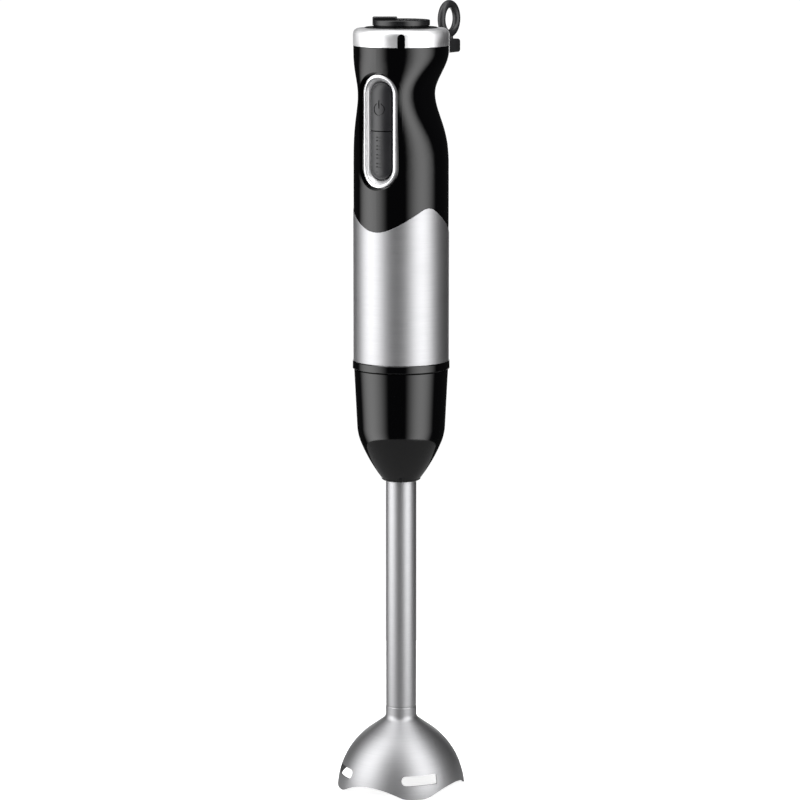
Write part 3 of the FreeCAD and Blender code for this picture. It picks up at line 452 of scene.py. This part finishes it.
def rounded(corners):
    """Outline through corners (a, b, radius), closed, with each corner rounded."""
    outline = []
    for k, (a, b, radius) in enumerate(corners):
        here = Vector((a, b))
        if not radius:
            outline.append(here)
            continue
        to_last = (Vector(corners[k - 1][:2]) - here).normalized()
        to_next = (Vector(corners[(k + 1) % len(corners)][:2]) - here).normalized()
        reach = radius / math.tan(to_last.angle(to_next) / 2)
        start = here + to_last * reach
        end = here + to_next * reach
        for step in range(CORNER_STEPS + 1):
            t = step / CORNER_STEPS
            outline.append(start * (1 - t) ** 2 + here * 2 * t * (1 - t) + end * t * t)
    return outline


def make_piece(name, body, node, loops):
    """Closed skin through loops of points that all have the same count, last joined to first."""
    count = len(loops[0])
    points = [Vector(point) * 0.001 for loop in loops for point in loop]
    faces = []
    for k in range(len(loops)):
        here = k * count
        there = (k + 1) % len(loops) * count
        for m in range(count):
            after = (m + 1) % count
            faces.append((here + m, here + after, there + after, there + m))
    mesh = bpy.data.meshes.new(name)
    mesh.from_pydata(points, [], faces)
    skin = bmesh.new()
    skin.from_mesh(mesh)
    bmesh.ops.remove_doubles(skin, verts=skin.verts, dist=1e-7)
    bmesh.ops.recalc_face_normals(skin, faces=skin.faces)
    for face in skin.faces:
        face.smooth = True
    skin.to_mesh(mesh)
    skin.free()
    piece = bpy.data.objects.new(name, mesh)
    scene.collection.objects.link(piece)
    mesh.materials.append(LOOKS[node_looks[node]].material)
    normals = piece.modifiers.new("normals", "WEIGHTED_NORMAL")
    normals.weight = 60
    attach(piece, body)
    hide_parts(node)


def lathe(name, body, node, section_at):
    """Piece turned about the drive axis; section_at gives the outline (r, z) at an angle in radians."""
    loops = []
    for k in range(COLUMNS):
        angle = 2 * math.pi * k / COLUMNS
        loops.append([(math.sin(angle) * r, -math.cos(angle) * r, z) for r, z in section_at(angle)])
    make_piece(name, body, node, loops)


def arc_height(y, first, middle, last):
    """Height at y of the flatter arc through three points (y, z)."""
    (x1, z1), (x2, z2), (x3, z3) = first, middle, last
    det = 2 * (x1 * (z2 - z3) + x2 * (z3 - z1) + x3 * (z1 - z2))
    s1, s2, s3 = x1 * x1 + z1 * z1, x2 * x2 + z2 * z2, x3 * x3 + z3 * z3
    cy = (s1 * (z2 - z3) + s2 * (z3 - z1) + s3 * (z1 - z2)) / det
    cz = (s1 * (x3 - x2) + s2 * (x1 - x3) + s3 * (x2 - x1)) / det
    radius = math.hypot(x1 - cy, z1 - cz)
    side = 1 if z2 > cz else -1
    return cz + side * math.sqrt(max(0.0, radius * radius - (y - cy) ** 2))


def wave_height(y):
    """Height of the wavy edge between steel and grip."""
    crest_start = WAVE_CREST[0][0]
    crest_end, crest_end_rise = WAVE_CREST[-1]
    if y < crest_start:
        rise = arc_height(y, *WAVE_FRONT)
    elif y < crest_end:
        rise = arc_height(y, *WAVE_CREST)
    else:
        rise = crest_end_rise - (y - crest_end) * WAVE_DROP / WAVE_RUN
    return WAVE_FRONT_Z + rise


def sleeve_section(angle):
    """Wall of the steel sleeve at an angle, up to the wavy edge."""
    edge = wave_height(-BODY_R * math.cos(angle))
    return rounded([(SLEEVE_BORE_R, SLEEVE_FOOT_Z, 0), (BODY_R, SLEEVE_FOOT_Z, 0.12),
                    (BODY_R, edge, SLEEVE_EDGE_R), (SLEEVE_BORE_R, edge, SLEEVE_EDGE_R)])


def turned(points, z):
    """Points (x, y) of the dial's bar at a height, turned to where the bar points at rest."""
    turn = math.radians(BAR_ANGLE)
    return [(x * math.cos(turn) - y * math.sin(turn), x * math.sin(turn) + y * math.cos(turn), z)
            for x, y in points]


def bar_outline(inset, rim_steps=16, side_steps=10, start_steps=12):
    """Outline of the dial's bar before it is turned: its outer end follows the rim."""
    half = BAR_HALF_WIDTH - inset
    rim = DIAL_R - inset
    start = -BAR_START - inset
    across = [half * (k / (rim_steps / 2) - 1) for k in range(rim_steps + 1)]
    points = [(x, -math.sqrt(rim * rim - x * x)) for x in across]
    length = points[-1][1] - start
    points += [(half, start + length * (1 - k / side_steps)) for k in range(1, side_steps + 1)]
    points += [(half * (1 - k / (start_steps / 2)), start) for k in range(1, start_steps)]
    points += [(-half, start + (points[0][1] - start) * k / side_steps) for k in range(side_steps)]
    return points


def bar_loop(inset, z):
    return turned(bar_outline(inset), z)


def spine_loop(z):
    """The same count of points, all on the bar's middle line, to close its top and bottom."""
    first, last = BAR_SPINE
    return turned([(0.0, -min(max(-y, first), last)) for _, y in bar_outline(0.0)], z)


def bar_loops(edge_steps=6):
    """Loops from the foot of the dial's bar over its rounded edge to its top."""
    edge_z = BAR_TOP_Z - BAR_EDGE_R
    loops = [spine_loop(BAR_FOOT_Z), bar_loop(0.0, BAR_FOOT_Z), bar_loop(0.0, edge_z)]
    for step in range(1, edge_steps + 1):
        bend = math.pi / 2 * step / edge_steps
        loops.append(bar_loop(BAR_EDGE_R * (1 - math.cos(bend)), edge_z + BAR_EDGE_R * math.sin(bend)))
    return loops + [bar_loop(1.2, BAR_TOP_Z), spine_loop(BAR_TOP_Z)]


def oblong_ring(inset, depth_at, end_steps=48, side_steps=24):
    """Upright outline with round ends, this far inside the bezel's; depth_at gives y from x."""
    radius = BEZEL_WIDTH / 2 - inset
    reach = (BEZEL_HEIGHT - BEZEL_WIDTH) / 2
    points = []
    for side in (1, -1):
        for k in range(end_steps + 1):
            angle = math.pi * k / end_steps
            x = side * radius * math.cos(angle)
            points.append((x, depth_at(x), BUTTON_CENTRE_Z + side * (reach + radius * math.sin(angle))))
        for k in range(1, side_steps):
            x = -side * radius
            points.append((x, depth_at(x), BUTTON_CENTRE_Z + side * reach * (1 - k / (side_steps / 2))))
    return points


def face_depth(behind):
    """Depth of a surface that lies this far behind the bezel's face."""
    return lambda x: -math.sqrt(BEZEL_FACE_R ** 2 - x * x) + behind


def slope_depth(share):
    """Depth of the inner slope, at a share of the way from the rim down to the keys."""
    return lambda x: ((1 - share) * (SLOPE_START - math.sqrt(BEZEL_FACE_R ** 2 - (x * SLOPE_STRETCH) ** 2))
                      + share * SLOPE_END_Y)


def flat_depth(y):
    return lambda x: y


def bezel_rings():
    """Rings from the back of the bezel, over its face and down its inner slope to the back again."""
    rings = [oblong_ring(0.0, flat_depth(BEZEL_BACK_Y))]
    rings += [oblong_ring(inset, face_depth(behind)) for inset, behind in BEZEL_FACE]
    for share in (0.1, 0.4, 0.7, 0.96):
        rings.append(oblong_ring(BEZEL_RIM + BEZEL_SLOPE_WIDTH * share, slope_depth(share)))
    return rings + [oblong_ring(inset, flat_depth(y)) for inset, y in BEZEL_THROAT]


tube_section = rounded([
    (TUBE_BORE_R, TUBE_FOOT_Z, 0), (TUBE_NECK_R, TUBE_FOOT_Z, 0.1), (TUBE_NECK_R, 43.75, 0.1),
    (TUBE_R, 43.95, 0.05), (TUBE_R, TUBE_TOP_Z, 0), (TUBE_BORE_R, TUBE_TOP_Z, 0)])
dial_section = rounded([
    (0.0, 401.2, 0), (13.4, 401.2, 0.3), (14.55, 403.1, 0.1), (14.2, 403.35, 0.1), (DIAL_R, 403.7, 0.15),
    (DIAL_R, DIAL_TOP_Z, 0.6), (0.0, DIAL_TOP_Z, 0)])

lathe("sleeve_skin", "handle", "steel_sleeve", sleeve_section)
lathe("tube_skin", "leg", "shaft_tube", lambda angle: tube_section)
lathe("dial_skin", "dial", "speed_dial", lambda angle: dial_section)
make_piece("dial_bar_skin", "dial", "speed_dial", bar_loops())
make_piece("bezel_skin", "handle", "button_bezel", bezel_rings())
